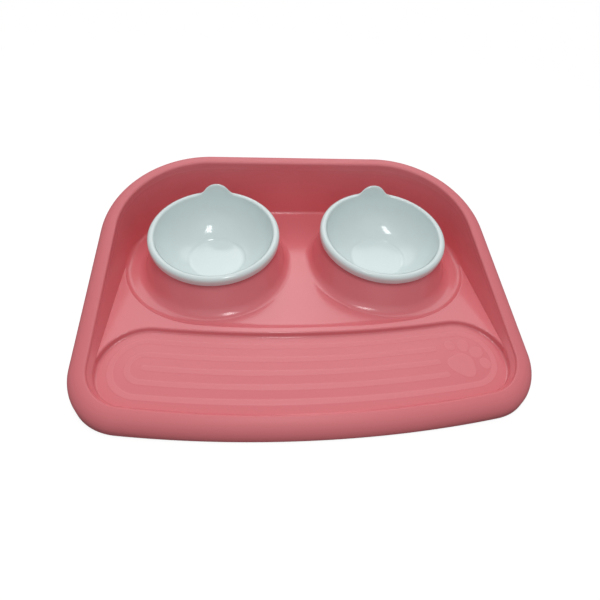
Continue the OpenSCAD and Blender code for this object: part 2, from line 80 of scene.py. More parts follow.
# What follows from those sizes. Swings are in radians, from the middle of a bow to its end
HALF_W, HALF_D = TRAY_W / 2, TRAY_D / 2
RIM_SLOPE = (BACK_H - FRONT_H) / TRAY_D
BOWL_X, BOWL_Y, BOWL_Z = BOWL_PITCH / 2, HALF_D - BOWL_BACK, DECK_H + BOWL_RISE
FOOT_LINE_X = HALF_W - RIM_W - WALL_LEAN
POOL_FRONT_Y = -HALF_D + RIM_W + FRONT_LEAN
POOL_MID_Y, POOL_BACK_Y = POOL_FRONT_Y + POOL_W / 2, POOL_FRONT_Y + POOL_W
POOL_END_X = FOOT_LINE_X - POOL_W / 2
POOL_SLOPE = (POOL_FRONT_DROP - POOL_BACK_DROP) / POOL_W
POOL_HUB_Y = POOL_MID_Y + BOW_R
POOL_SWING = math.asin(POOL_END_X / BOW_R)
POOL_END_Y = POOL_HUB_Y - BOW_R * math.cos(POOL_SWING)
BASIN_FLOOR = DECK_H - BASIN_DROP
BASIN_R, BASIN_Y = FOOT_LINE_X - BOWL_X, BOWL_Y - BASIN_SHIFT
BASIN_SWING = math.asin(BOWL_X / (BOW_R - BASIN_R))
BASIN_BOW_Y = BASIN_Y + (BOW_R - BASIN_R) * math.cos(BASIN_SWING)
FRONT_SWING = math.asin((HALF_W - FRONT_CORNER_R) / (BOW_R - FRONT_CORNER_R))
FRONT_CORNER_Y = -HALF_D + BOW_R - (BOW_R - FRONT_CORNER_R) * math.cos(FRONT_SWING)
BOWL_OUT_R = MOUTH_R + BOWL_RIM_W
COLLAR_R = BOWL_OUT_R - LIP_T - COLLAR_GAP

# From here to the next heading: sizes that only the looks have, where the solids are plainer
# The roll at the rim's inner edge, the skirt's rounded edges, and the share of matt finish and of painted
# shade on the outside
INNER_ROLL, SKIRT_EDGE, SKIRT_INNER_EDGE, RIM_MATT_AND_SHADE = 2.0, 0.5, 0.3, 0.8
# Radius of the cove at the inner wall's foot, from the pool's front to the back wall
POOL_FRONT_COVE, POOL_COVE, DECK_COVE, BASIN_COVE, BACK_COVE = 1.0, 2.4, 3.2, 6.0, 3.2
# Where that radius starts to change, behind the pool's front or the basin's rounds, and for how long
POOL_COVE_START, POOL_COVE_RUN = 4, 28
BASIN_COVE_START, BACK_COVE_START, BASIN_COVE_RUN = -34, 8, 30
# The step into the pool: two roundings, and between them a short run at its steepest angle
STEP_TOP_R, STEP_FOOT_R, STEP_STEEP, STEP_RUN = 1.7, 1.7, math.radians(75), 0.3
STEP_START = -STEP_TOP_R * math.sin(STEP_STEEP)
STEP_END = STEP_RUN + STEP_FOOT_R * math.sin(STEP_STEEP)
# How far the step's ends run out into the side walls, and the angle round the pool's end where that stops
STEP_RUN_OUT, STEP_RUN_OUT_TURN = 0.25, math.radians(25)
# Softness of the basin's edge, how much is added in the middle of the front, and where that has faded
BASIN_EDGE_SOFT, BASIN_FRONT_SOFT, BASIN_FADE_X, BASIN_FADE_RUN = 0.6, 3.0, 105.0, 60.0
# Where the basin's slope has died out along the side walls, and how far outside its edge the deck is flat
TAIL_RUN, DECK_START = 5.0, 4
# Height of the pattern and width of its soft edge
RELIEF_H, RELIEF_EDGE = 0.08, 1.2
# Cove at the pedestal's foot, and how much further its front reaches than the solid's
PEDESTAL_COVE, PEDESTAL_FRONT = 7.0, 6.0
# Radius of the floor's hole under a pedestal, whose edge the cove covers
HOLE_R = PEDESTAL_R + PEDESTAL_COVE / 3
# Small edges of the collars, the bosses and the ribs
COLLAR_EDGE, BOSS_EDGE, RIB_EDGE = 0.5, 0.3, 0.25
# The finger tab: its flares, its extra height over the solid's, its lean in degrees and where it may reach
TAB_FLARE_R, TAB_EXTRA, TAB_LEAN, TAB_REACH_X, TAB_REACH_Z = 12.0, 0.9, 8.7, 20, -4
# How fast the outer half of the bowl's rim stops following the tab
TAB_FADE = 2.6
# Widths and heights of the rounds that make the bowl's rim, inside and outside its crown
CROWN_IN_W, CROWN_IN_H, CROWN_OUT_W, CROWN_OUT_H = 2.3, 1.9, 3.7, 3.6
# The flat disc in the bowl's floor: radius, shift to the front, depth, rounded edge and the blend round it
DISC_R, DISC_FORWARD, DISC_SINK, DISC_EDGE, DISC_BLEND = 29.8, 4.5, 1.2, 4.0, 12.0
# How far a swept face ends under the floor that it runs into
TUCK = 0.03
# Points nearer than this count as one
MERGE_GAP = 0.02
# Radius that stands for a bowl's axis
AXIS_R = 0.01


# Meshes and pieces

def deselect():
    bpy.ops.object.select_all(action="DESELECT")


def select(*pieces):
    """Selects these pieces alone, with the first of them active."""
    deselect()
    for piece in pieces:
        piece.select_set(True)
    bpy.context.view_layer.objects.active = pieces[0]


def new_piece(name, points, faces):
    """A piece from points in millimetres and faces that look outwards."""
    mesh = bpy.data.meshes.new(name)
    mesh.from_pydata([tuple(p) for p in np.asarray(points) * MM], [], faces)
    mesh.validate()
    piece = bpy.data.objects.new(name, mesh)
    bpy.context.collection.objects.link(piece)
    return piece


def smooth(piece, degrees=40, weighted=False):
    """Smooth shading over edges up to an angle. Weighted normals let the large faces lead."""
    select(piece)
    bpy.ops.object.shade_smooth_by_angle(angle=math.radians(degrees))
    if weighted:
        bpy.ops.object.modifier_add(type="WEIGHTED_NORMAL")
        shading = piece.modifiers[-1]
        shading.keep_sharp = True
        bpy.ops.object.modifier_apply(modifier=shading.name)


def set_matt_and_painted_light(piece, shares):
    """Marks how matt the plastic is at each point, which also sets its painted light: 0 is polished, 1 has
    the mould's fine texture and the painted sheen or shade in its colour.
    """
    matt = piece.data.attributes.new("matt", "FLOAT", "POINT")
    matt.data.foreach_set("value", shares)


def lathe(name, profile, steps):
    """Extrudes one point along a profile of radius and height, then spins it round the Z axis."""
    deselect()
    bpy.ops.mesh.primitive_plane_add(size=MM, location=(0, 0, 0))
    piece = bpy.context.object
    piece.name = piece.data.name = name
    bpy.ops.object.mode_set(mode="EDIT")
    bpy.ops.mesh.merge(type="CENTER")
    bpy.ops.transform.translate(value=(profile[0][0] * MM, 0, profile[0][1] * MM))
    for (r0, z0), (r1, z1) in zip(profile, profile[1:]):
        move = ((r1 - r0) * MM, 0, (z1 - z0) * MM)
        bpy.ops.mesh.extrude_region_move(TRANSFORM_OT_translate={"value": move})
    bpy.ops.mesh.select_all(action="SELECT")
    bpy.ops.mesh.spin(steps=steps, angle=2 * math.pi, center=(0, 0, 0), axis=(0, 0, 1))
    bpy.ops.mesh.select_all(action="SELECT")
    bpy.ops.mesh.remove_doubles(threshold=MERGE_GAP * MM)
    bpy.ops.mesh.normals_make_consistent(inside=False)
    bpy.ops.object.mode_set(mode="OBJECT")
    return piece


def swept_ring(name, sections):
    """A closed ring of equal closed sections, which run anticlockwise seen along the sweep."""
    ring, edge = len(sections), len(sections[0])
    faces = []
    for i in range(ring):
        for j in range(edge):
            a, b = i * edge + j, i * edge + (j + 1) % edge
            k = ((i + 1) % ring) * edge
            faces.append((a, k + j, k + (j + 1) % edge, b))
    return new_piece(name, np.array(sections).reshape(-1, 3), faces)


def arc(centre, r, start, end, steps):
    """Points on an arc, its angles in degrees."""
    turns = [math.radians(start + (end - start) * i / steps) for i in range(steps + 1)]
    return [(centre[0] + r * math.cos(a), centre[1] + r * math.sin(a)) for a in turns]


# Plan and heights of the tray

def arc_stations(centre, r, start, end, steps):
    """Stations on an arc, each a point and the direction from it to the centre."""
    return [(x, y, (centre[0] - x) / r, (centre[1] - y) / r) for x, y in arc(centre, r, start, end, steps)]


def plan_stations():
    """Stations round the outer plan, each a point and its inward normal, from the middle of the front."""
    bow_steps, corner_steps, back_corner_steps = 26, 26, 44
    side_points, back_points = 50, 15
    swing = math.degrees(FRONT_SWING)
    front_hub = (HALF_W - FRONT_CORNER_R, FRONT_CORNER_Y)
    back_hub = (HALF_W - BACK_CORNER_R, HALF_D - BACK_CORNER_R)
    right = arc_stations((0, BOW_R - HALF_D), BOW_R, -90, -90 + swing, bow_steps)
    right += arc_stations(front_hub, FRONT_CORNER_R, -90 + swing, 0, corner_steps)[1:]
    right += [(HALF_W, y, -1.0, 0.0) for y in np.linspace(front_hub[1], back_hub[1], side_points)[1:]]
    right += arc_stations(back_hub, BACK_CORNER_R, 0, 90, back_corner_steps)[1:]
    right += [(x, HALF_D, 0.0, -1.0) for x in np.linspace(back_hub[0], 0, back_points)[1:]]
    left = [(-x, y, -nx, ny) for x, y, nx, ny in right[-2:0:-1]]
    return np.array(right + left)


def rim_z(y):
    """Height of the rim's top, which slopes from back to front."""
    return FRONT_H + RIM_SLOPE * (y + HALF_D)


def pool_z(y):
    """Height of the pool's floor, which falls to the front."""
    return DECK_H - POOL_BACK_DROP + (y - POOL_BACK_Y) * POOL_SLOPE


def floor_z(y):
    """Height of the flat floors at a side wall: the pool's in front and the basin's behind it."""
    return pool_z(y) if y < POOL_BACK_Y else BASIN_FLOOR


def ease(t):
    """0 up to t = 0, 1 from t = 1, and a smooth rise between them."""
    t = np.clip(t, 0, 1)
    return t * t * (3 - 2 * t)


def foot_cove(y):
    """Radius of the cove at the inner wall's foot: least at the pool's front, most beside the bowls."""
    if y < POOL_BACK_Y:
        grown = float(ease((y - POOL_FRONT_Y - POOL_COVE_START) / POOL_COVE_RUN))
        return POOL_FRONT_COVE + (POOL_COVE - POOL_FRONT_COVE) * grown
    grown = float(ease((y - BASIN_Y - BASIN_COVE_START) / BASIN_COVE_RUN))
    shrunk = float(ease((y - BASIN_Y - BACK_COVE_START) / BASIN_COVE_RUN))
    return DECK_COVE + (BASIN_COVE - DECK_COVE) * grown + (BACK_COVE - BASIN_COVE) * shrunk


def rim_section(station):
    """Facts of the section at one station: floor, wall top, lean, foot and cove."""
    y, turn = station[1], station[3]
    top_y = y + RIM_W * turn
    cove = foot_cove(top_y)
    floor = BASIN_FLOOR if top_y > POOL_BACK_Y else pool_z(top_y + (FRONT_LEAN + cove) * turn)
    top = max(rim_z(top_y) - INNER_ROLL, floor + LEAST_WALL_H)
    lean = FRONT_LEAN + (WALL_LEAN - FRONT_LEAN) * min(1, max(0, (top - floor) / LEAN_FULL_H))
    return floor, top, lean, RIM_W + lean, cove


# Points of the section on the skirt, steps of its rounds outside, and how many points the outside has
SKIRT_POINTS, SHOULDER_STEPS, ROLL_STEPS = 6, 18, 9
OUTSIDE_POINTS = SKIRT_POINTS + SHOULDER_STEPS + 1 + ROLL_STEPS + 1
# Steps of its rounds on the hidden side, and the least height that the inner one keeps there
INSIDE_SHOULDER_STEPS, INSIDE_ROLL_STEPS, LEAST_ROLL = 8, 3, 0.1
# Skirts taller than this have their points nearer to their ends
TALL_SKIRT = 12


def section_points(station):
    """The closed section of rim and walls at one station, from the skirt's lower edge over the top."""
    x, y, nx, ny = station
    top_y = y + RIM_W * ny
    floor, top, lean, foot, cove = rim_section(station)
    cove_top = floor + cove - TUCK
    knee = max(cove_top, min(DECK_H, top - lean)) if top_y < POOL_BACK_Y else cove_top
    drop = rim_z(top_y) - top
    inside_drop = max(drop - WALL_T, LEAST_ROLL)
    low = min(BASIN_FLOOR, floor) - WALL_T - WALL_TAIL

    def at(inset, z):
        return x + inset * nx, y + inset * ny, z

    def roll(inset, run, rise, fall, start, end, steps):
        """A round with its middle at an inset and a fall below the sloping rim."""
        out = []
        for i in range(steps + 1):
            a = math.radians(start + (end - start) * i / steps)
            t = inset + run * math.cos(a)
            out.append(at(t, rim_z(y + t * ny) - fall + rise * math.sin(a)))
        return out

    skirt_top = rim_z(y) - SHOULDER_H
    skirt_h = max(0, skirt_top - SKIRT_GAP - SKIRT_EDGE)
    shares = (0.1, 0.5, 0.9) if skirt_top > TALL_SKIRT else (0.2, 0.5, 0.8)
    edge_mid = 0.3 * SKIRT_EDGE
    points = [at(SKIRT_EDGE, SKIRT_GAP), at(edge_mid, SKIRT_GAP + edge_mid), at(0, SKIRT_GAP + SKIRT_EDGE)]
    points += [at(0, SKIRT_GAP + SKIRT_EDGE + skirt_h * k) for k in shares]
    points += roll(SHOULDER_W, SHOULDER_W, SHOULDER_H, SHOULDER_H, 180, 90, SHOULDER_STEPS)
    points += roll(RIM_W - INNER_ROLL, INNER_ROLL, drop, drop, 90, 0, ROLL_STEPS)

    wall = [(RIM_W + lean * k, top + (knee - top) * k) for k in (0.15, 0.5, 0.85)]
    points += [at(inset, z) for inset, z in wall]
    points += [at(foot, knee)]
    for degrees in range(15, 91, 15):
        a = math.radians(degrees)
        points += [at(foot + cove * (1 - math.cos(a)), cove_top - cove * math.sin(a))]
    points += [at(foot + cove, low + WALL_TAIL), at(foot, low)]
    points += [at(foot - WALL_T, low), at(foot - WALL_T, knee)]

    points += [at(inset - WALL_T, z) for inset, z in reversed(wall)]
    points += roll(RIM_W - INNER_ROLL, INNER_ROLL - WALL_T, inside_drop, drop, 0, 90, INSIDE_ROLL_STEPS)
    points += roll(SHOULDER_W, SHOULDER_W - WALL_T, SHOULDER_H - WALL_T, SHOULDER_H, 90, 180,
                   INSIDE_SHOULDER_STEPS)
    points += [at(WALL_T, SKIRT_GAP + SKIRT_INNER_EDGE), at(WALL_T - SKIRT_INNER_EDGE, SKIRT_GAP)]
    return points


# Floor of the tray as a height over the plan

def plan_inset(x, y):
    """Distance inwards from the outer plan, for the sides and the back."""
    past_x, past_y = np.abs(x) - HALF_W + BACK_CORNER_R, y - HALF_D + BACK_CORNER_R
    corner = BACK_CORNER_R - np.hypot(np.maximum(past_x, 0), np.maximum(past_y, 0))
    straight = np.minimum(HALF_W - np.abs(x), HALF_D - y)
    return np.where((past_x > 0) & (past_y > 0), corner, straight)


def basin_inside(x, y):
    """Distance inside the basin's edge."""
    turn = np.arctan2(np.abs(x), BASIN_BOW_Y - y)
    front = np.where(turn < BASIN_SWING, BOW_R - np.hypot(x, y - BASIN_BOW_Y),
                     BASIN_R - np.hypot(np.abs(x) - BOWL_X, y - BASIN_Y))
    return np.where(y > BASIN_Y, plan_inset(x, y) - RIM_W - WALL_LEAN, front)


def line_y(x):
    """The pool's middle line at that x."""
    return POOL_HUB_Y - np.sqrt(BOW_R ** 2 - x ** 2)


def pool_line(x, y):
    """Distance from the pool's middle line, which is an arc with an end on each side."""
    turn = np.arctan2(np.abs(x), POOL_HUB_Y - y)
    return np.where(turn < POOL_SWING, np.abs(np.hypot(x, y - POOL_HUB_Y) - BOW_R),
                    np.hypot(np.abs(x) - POOL_END_X, y - POOL_END_Y))


def step_run_out(turn):
    """How far the step moves out into the side wall, at an angle round the pool's end."""
    return STEP_RUN_OUT * (1 - ease(turn / STEP_RUN_OUT_TURN))


def pool_inside(x, y):
    """Distance inside the pool's back edge. Everything in front of the middle line is inside."""
    turn = np.arctan2(np.abs(x), POOL_HUB_Y - y)
    behind = np.hypot(x, y - POOL_HUB_Y) < BOW_R
    middle = np.where(behind, POOL_W / 2 - pool_line(x, y), POOL_W / 2)
    end_turn = np.arctan2(y - POOL_END_Y, np.abs(x) - POOL_END_X)
    round_end = POOL_W / 2 - pool_line(x, y) + step_run_out(end_turn)
    ends = np.where(y > POOL_END_Y, round_end, POOL_W / 2)
    return np.where(turn < POOL_SWING, middle, ends)


def soft_min(a, b, k):
    """The lesser of two values, rounded over a width k where they meet."""
    h = np.clip(0.5 + 0.5 * (b - a) / k, 0, 1)
    return b + (a - b) * h - k * h * (1 - h)


def paw_parts():
    """The pad and toes as (middle, turn, half length, half width, lobe share)."""
    hub = np.array([PAW_X, line_y(PAW_X) - PAW_DROP])
    parts = [(hub, math.radians(PAW_ANGLE), PAD_R, PAD_R * PAD_WIDE_SHARE, PAD_LOBE_SHARE)]
    for angle, length, width in zip(TOE_ANGLE_SHARES, TOE_LEN_SHARES, TOE_W_SHARES):
        turn = math.radians(PAW_ANGLE + TOE_FAN * angle)
        toe = hub + TOE_REACH * np.array([math.cos(turn), math.sin(turn)])
        parts.append((toe, turn, TOE_LEN * length, TOE_W * width, 0.0))
    return parts


# Stands for a place that is far outside a band or a toe
OUTSIDE = -50.0


def paw_inside(x, y):
    """Distance inside the nearest part of the paw."""
    best = np.full(np.shape(x), OUTSIDE)
    for hub, turn, length, width, lobe in paw_parts():
        u = (x - hub[0]) * math.cos(turn) + (y - hub[1]) * math.sin(turn)
        v = -(x - hub[0]) * math.sin(turn) + (y - hub[1]) * math.cos(turn)
        a = np.arctan2(v / width, u / length)
        swell = 1 + lobe * np.cos(3 * a)
        edge = np.hypot(length * swell * np.cos(a), width * swell * np.sin(a))
        best = np.maximum(best, edge - np.hypot(u, v))
    return best


def band_inside(x, y):
    """Distance inside the nearest raised band."""
    line = pool_line(x, y)
    closed = BAND_W / 2 - np.abs(line - 2 * BAND_PITCH)
    hairpin = BAND_W / 2 - np.abs(line - BAND_PITCH)
    tip = BAND_W / 2 - np.hypot(x - LEG_END_X, y - line_y(LEG_END_X))
    best = np.maximum(closed, np.where(x < LEG_END_X, BAND_W / 2 - line, tip))
    upper = y > line_y(x)
    legs = ((LEG_END_X, BAND_PITCH, upper), (LEG_END_X + LOWER_LEG_EXTRA, -BAND_PITCH, ~upper))
    for end_x, offset, on_leg in legs:
        tip = BAND_W / 2 - np.hypot(x - end_x, y - line_y(end_x) - offset)
        best = np.maximum(best, np.where(on_leg, np.where(x < end_x, hairpin, tip), OUTSIDE))
    return best


def pattern_inside(x, y):
    """Distance inside the nearest band or part of the paw."""
    return np.maximum(band_inside(x, y), paw_inside(x, y))


def step_rounding(run, r):
    """Fall of one of the step's roundings, from level to the step's steepest angle."""
    return r * (1 - np.sqrt(1 - np.clip(run / r, 0, math.sin(STEP_STEEP)) ** 2))


def floor_height(x, y):
    """Height of the tray's floor: deck, basin with its hollow slope, and pool with its step and pattern."""
    inside = basin_inside(x, y)
    w, h = BASIN_SLOPE_W, BASIN_DROP
    slope_r = (w * w + h * h) / (2 * h)
    reach = np.clip(w - inside, 0, w)
    rise = slope_r - np.sqrt(slope_r * slope_r - reach * reach) + np.maximum(-inside, 0) * w / (slope_r - h)
    edge_soft = BASIN_EDGE_SOFT + BASIN_FRONT_SOFT * ease((BASIN_FADE_X - np.abs(x)) / BASIN_FADE_RUN)
    share = 1 - ease((y - BASIN_Y) / TAIL_RUN)
    z = BASIN_FLOOR + share * soft_min(rise, h, edge_soft)
    z = np.where(inside > w, BASIN_FLOOR, z)
    z = np.where(inside < -DECK_START, DECK_H, z)

    step = pool_inside(x, y)
    pool = pool_z(y) + RELIEF_H * ease(pattern_inside(x, y) / RELIEF_EDGE)
    top = z - step_rounding(step - STEP_START, STEP_TOP_R)
    foot = pool + step_rounding(STEP_END - step, STEP_FOOT_R)
    slope = top + (foot - top) * np.clip(step / STEP_RUN, 0, 1)
    return np.where(step < 0, top, np.where(step > STEP_RUN, foot, slope))


# Guide lines that the floor's mesh follows

# Steps along the bow and round the ends of the pool, the basin, the bands and the holes under the bowls
BOW_STEPS, POOL_END_POINTS, STRIP_END_STEPS = 90, 44, 36
BASIN_CORNER_STEPS, BASIN_BOW_STEPS, TAIL_POINTS = 46, 44, 10
LEG_POINTS, LOWER_LEG_POINTS, HAIRPIN_STEPS, TIP_STEPS = 84, 86, 24, 12
PAW_POINTS, HOLE_STEPS = 64, 96
# Guide lines across the basin's slope, as distances inside its edge
BASIN_LINES = (-1.7, -0.7, -0.35, 0, 0.3, 0.7, 1.2, 1.9, 2.7, 3.6, 4.7, 6, 6.8)
# Guide lines across the step's roundings as shares of its steepest angle, and how far outside it the last are
STEP_LINES, STEP_MARGIN = (0, 0.17, 0.34, 0.5, 0.67, 0.84, 1), 0.5
# Guide lines across the pattern's soft edge, as shares of its width
RELIEF_LINES = (-0.35, 0, 0.25, 0.5, 0.75, 1, 1.35)
# Spacing and reach of the grid between the guide lines, and how far it stays away from each kind
GRID, GRID_X, GRID_FRONT_Y, GRID_BACK_Y = 6.5, 175, -140, 135
STEP_CLEAR, BASIN_CLEAR, PATTERN_CLEAR, HOLE_CLEAR = 4, 9.5, 2, 3


def pool_edge(inside):
    """The pool's back edge, moved inwards by a distance, from the right wall round to the left."""
    r = POOL_W / 2 - inside
    right = []
    for turn in np.linspace(0, math.pi / 2 + POOL_SWING, POOL_END_POINTS):
        reach = r + float(step_run_out(turn))
        right.append((POOL_END_X + reach * math.cos(turn), POOL_END_Y + reach * math.sin(turn)))
    swing = math.degrees(POOL_SWING)
    back = arc((0, POOL_HUB_Y), BOW_R - r, -90 + swing, -90 - swing, BOW_STEPS)
    return right + back[1:-1] + [(-x, y) for x, y in reversed(right)]


def basin_edge(inside):
    """The basin's edge, moved inwards by a distance, with its tails along the side walls."""
    swing = math.degrees(BASIN_SWING)
    corner = arc((BOWL_X, BASIN_Y), BASIN_R - inside, 0, -90 + swing, BASIN_CORNER_STEPS)
    bow = arc((0, BASIN_BOW_Y), BOW_R - inside, -90 + swing, -90 - swing, BASIN_BOW_STEPS)
    left = [(-x, y) for x, y in reversed(corner)]
    inner_r = BACK_CORNER_R - RIM_W - WALL_LEAN - inside
    hub = (HALF_W - BACK_CORNER_R, HALF_D - BACK_CORNER_R)
    tail = []
    for y in np.linspace(BASIN_Y + TAIL_RUN, BASIN_Y, TAIL_POINTS)[:-1]:
        a = math.asin(max(0, y - hub[1]) / inner_r)
        tail.append((hub[0] + inner_r * math.cos(a), float(y)))
    return tail + corner + bow[1:-1] + left + [(-x, y) for x, y in reversed(tail)]


def strip_outline(half_width):
    """Outline of the bowed strip at a distance from the pool's middle line."""
    swing = math.degrees(POOL_SWING)
    right = arc((POOL_END_X, POOL_END_Y), half_width, -90 + swing, 90 + swing, STRIP_END_STEPS)
    back = arc((0, POOL_HUB_Y), BOW_R - half_width, -90 + swing, -90 - swing, BOW_STEPS)
    left = arc((-POOL_END_X, POOL_END_Y), half_width, 90 - swing, 270 - swing, STRIP_END_STEPS)
    front = arc((0, POOL_HUB_Y), BOW_R + half_width, -90 - swing, -90 + swing, BOW_STEPS)
    return right + back[1:-1] + left + front[1:-1]


def leg_paths():
    """Middle lines of the open bands: the hairpin round the left end, and the straight one inside it."""
    top = [(x, line_y(x) + BAND_PITCH) for x in np.linspace(LEG_END_X, -POOL_END_X, LEG_POINTS)]
    swing = math.degrees(POOL_SWING)
    turn = arc((-POOL_END_X, POOL_END_Y), BAND_PITCH, 90 - swing, 270 - swing, HAIRPIN_STEPS)
    low_x = np.linspace(-POOL_END_X, LEG_END_X + LOWER_LEG_EXTRA, LOWER_LEG_POINTS)
    low = [(x, line_y(x) - BAND_PITCH) for x in low_x]
    middle = [(x, line_y(x)) for x in np.linspace(LEG_END_X, -POOL_END_X, LEG_POINTS)]
    return [top[:-1] + turn + low[1:], middle]


def ribbon(path, r):
    """Closed outline at a distance round a smooth path."""
    p = np.array(path)
    t = np.gradient(p, axis=0)
    t /= np.linalg.norm(t, axis=1)[:, None]
    n = np.stack([-t[:, 1], t[:, 0]], 1)
    start = math.degrees(math.atan2(n[0][1], n[0][0]))
    end = math.degrees(math.atan2(-n[-1][1], -n[-1][0]))
    cap = arc(p[-1], r, end + 180, end, TIP_STEPS)
    tail = arc(p[0], r, start + 180, start, TIP_STEPS)
    return [tuple(q) for q in p + r * n][1:-1] + cap + [tuple(q) for q in (p - r * n)[::-1]][1:-1] + tail


def paw_outline(part, inset):
    """Outline of the pad or a toe, moved inwards by a distance."""
    hub, turn, length, width, lobe = part
    a = np.linspace(0, 2 * np.pi, PAW_POINTS, endpoint=False)
    swell = 1 + lobe * np.cos(3 * a)
    u, v = (length * swell - inset) * np.cos(a), (width * swell - inset) * np.sin(a)
    x = hub[0] + u * math.cos(turn) - v * math.sin(turn)
    y = hub[1] + u * math.sin(turn) + v * math.cos(turn)
    return list(zip(x.tolist(), y.tolist()))


def guide_lines(boundary, holes):
    """Points and edges of all the lines that the floor's mesh follows."""
    points, edges = [], []

    def line(path, closed=False):
        start = len(points)
        points.extend(path)
        edges.extend((start + i, start + i + 1) for i in range(len(path) - 1))
        if closed:
            edges.append((start + len(path) - 1, start))

    line([tuple(p) for p in boundary], True)
    for hole in holes:
        line(hole, True)
    for distance in BASIN_LINES:
        line(basin_edge(distance))
    turns = [STEP_STEEP * k for k in STEP_LINES]
    top = [STEP_START + STEP_TOP_R * math.sin(a) for a in turns]
    foot = [STEP_END - STEP_FOOT_R * math.sin(a) for a in reversed(turns)]
    for distance in [STEP_START - STEP_MARGIN] + top + foot + [STEP_END + STEP_MARGIN]:
        line(pool_edge(distance))
    for k in RELIEF_LINES:
        inset = k * RELIEF_EDGE
        line(strip_outline(2 * BAND_PITCH + BAND_W / 2 - inset), True)
        line(strip_outline(2 * BAND_PITCH - BAND_W / 2 + inset), True)
        for path in leg_paths():
            line(ribbon(path, BAND_W / 2 - inset), True)
        for part in paw_parts():
            line(paw_outline(part, inset), True)
    return points, edges


def inside_polygon(polygon, x, y):
    """Which points lie inside a polygon: those with an odd number of its sides to their right."""
    hit = np.zeros(np.shape(x), bool)
    for (x0, y0), (x1, y1) in zip(polygon, np.roll(polygon, -1, axis=0)):
        if y0 != y1:
            hit ^= ((y0 > y) != (y1 > y)) & (x < (x1 - x0) * (y - y0) / (y1 - y0) + x0)
    return hit


def grid_points(boundary):
    """Points of an even grid with staggered rows, away from the guide lines."""
    x, y = np.meshgrid(np.arange(-GRID_X, GRID_X + 1, GRID), np.arange(GRID_FRONT_Y, GRID_BACK_Y + 1, GRID))
    x = x + (np.arange(x.shape[0]) % 2)[:, None] * GRID / 2
    x, y = x.ravel(), y.ravel()
    basin = basin_inside(x, y)
    far = (np.abs(pool_inside(x, y)) > STEP_CLEAR) & ((basin > BASIN_CLEAR) | (basin < -DECK_START))
    far &= np.abs(pattern_inside(x, y) - RELIEF_EDGE / 2) > PATTERN_CLEAR
    for side in (-1, 1):
        far &= np.hypot(x - side * BOWL_X, y - BOWL_Y) > HOLE_R + HOLE_CLEAR
    far &= inside_polygon(boundary, x, y)
    return list(zip(x[far].tolist(), y[far].tolist()))


def floor_triangles(boundary):
    """Plan points and triangles of the floor, all facing up, with a hole under each bowl."""
    same_point = 1e-4
    holes = [arc((side * BOWL_X, BOWL_Y), HOLE_R, 0, 360, HOLE_STEPS)[:-1] for side in (-1, 1)]
    points, edges = guide_lines(boundary, holes)
    points += grid_points(boundary)
    flat, _, triangles, _, _, _ = delaunay_2d_cdt([Vector(p) for p in points], edges, [], 0, same_point)
    xy, tri = np.array([tuple(v) for v in flat]), np.array(triangles)
    middle = xy[tri].mean(axis=1)
    keep = inside_polygon(boundary, middle[:, 0], middle[:, 1])
    for hole in holes:
        keep &= ~inside_polygon(np.array(hole), middle[:, 0], middle[:, 1])
    tri = tri[keep]
    u, v = xy[tri[:, 1]] - xy[tri[:, 0]], xy[tri[:, 2]] - xy[tri[:, 0]]
    faces_down = u[:, 0] * v[:, 1] - u[:, 1] * v[:, 0] < 0
    tri[faces_down] = tri[faces_down][:, ::-1]
    used, tri = np.unique(tri, return_inverse=True)
    return xy[used], tri.reshape(-1, 3)


# The tray's pieces

def build_floor(boundary):
    """Deck, basin and pool as one plate of even thickness, whose mesh follows every edge."""
    xy, tri = floor_triangles(boundary)
    n = len(xy)
    top_z = floor_height(xy[:, 0], xy[:, 1])
    points = np.concatenate([np.column_stack([xy, top_z]), np.column_stack([xy, top_z - WALL_T])])
    faces = [tuple(t) for t in tri] + [(c + n, b + n, a + n) for a, b, c in tri]
    sides = dict.fromkeys(side for a, b, c in tri for side in ((a, b), (b, c), (c, a)))
    faces += [(b, a, a + n, b + n) for a, b in sides if (b, a) not in sides]
    floor = new_piece("tray_floor", points, faces)
    # The pattern is matt, and its colour gets a painted sheen there
    raised = ease(pattern_inside(xy[:, 0], xy[:, 1]) / RELIEF_EDGE)
    set_matt_and_painted_light(floor, np.concatenate([raised, np.zeros(n)]))
    smooth(floor, degrees=60, weighted=True)
    return floor


def build_tray():
    """The rim with its walls, matt and painted a shade darker on the outside, and the floor that fills it."""
    stations = plan_stations()
    sections = [section_points(s) for s in stations]
    rim = swept_ring("tray_rim", sections)
    # The outside is matt, and its colour gets a painted shade there
    shares = [RIM_MATT_AND_SHADE if i < OUTSIDE_POINTS else 0.0 for i in range(len(sections[0]))]
    set_matt_and_painted_light(rim, np.tile(shares, len(stations)))
    smooth(rim, degrees=50)
    inset = [rim_section(s)[3] - WALL_T / 2 for s in stations]
    boundary = np.array([(s[0] + t * s[2], s[1] + t * s[3]) for s, t in zip(stations, inset)])
    return [rim, build_floor(boundary)]


def tilt_about_bowl(side):
    """Takes what is made round the Z axis, with the bowl's mouth at 0, to its tipped place on the tray."""
    place = Matrix.Translation(Vector((side * BOWL_X, BOWL_Y, BOWL_Z)) * MM)
    return place @ Matrix.Rotation(math.radians(BOWL_TILT), 4, "X")


# Steps round a pedestal and its collar, points of the cove at its foot and steps of the collar's edge
PEDESTAL_STEPS, PEDESTAL_COVE_POINTS, COLLAR_EDGE_STEPS = 144, 15, 4
# Thickness of the pedestal's wall measured level, which is more because the wall leans
LEANING_WALL_T = 1.1 * WALL_T


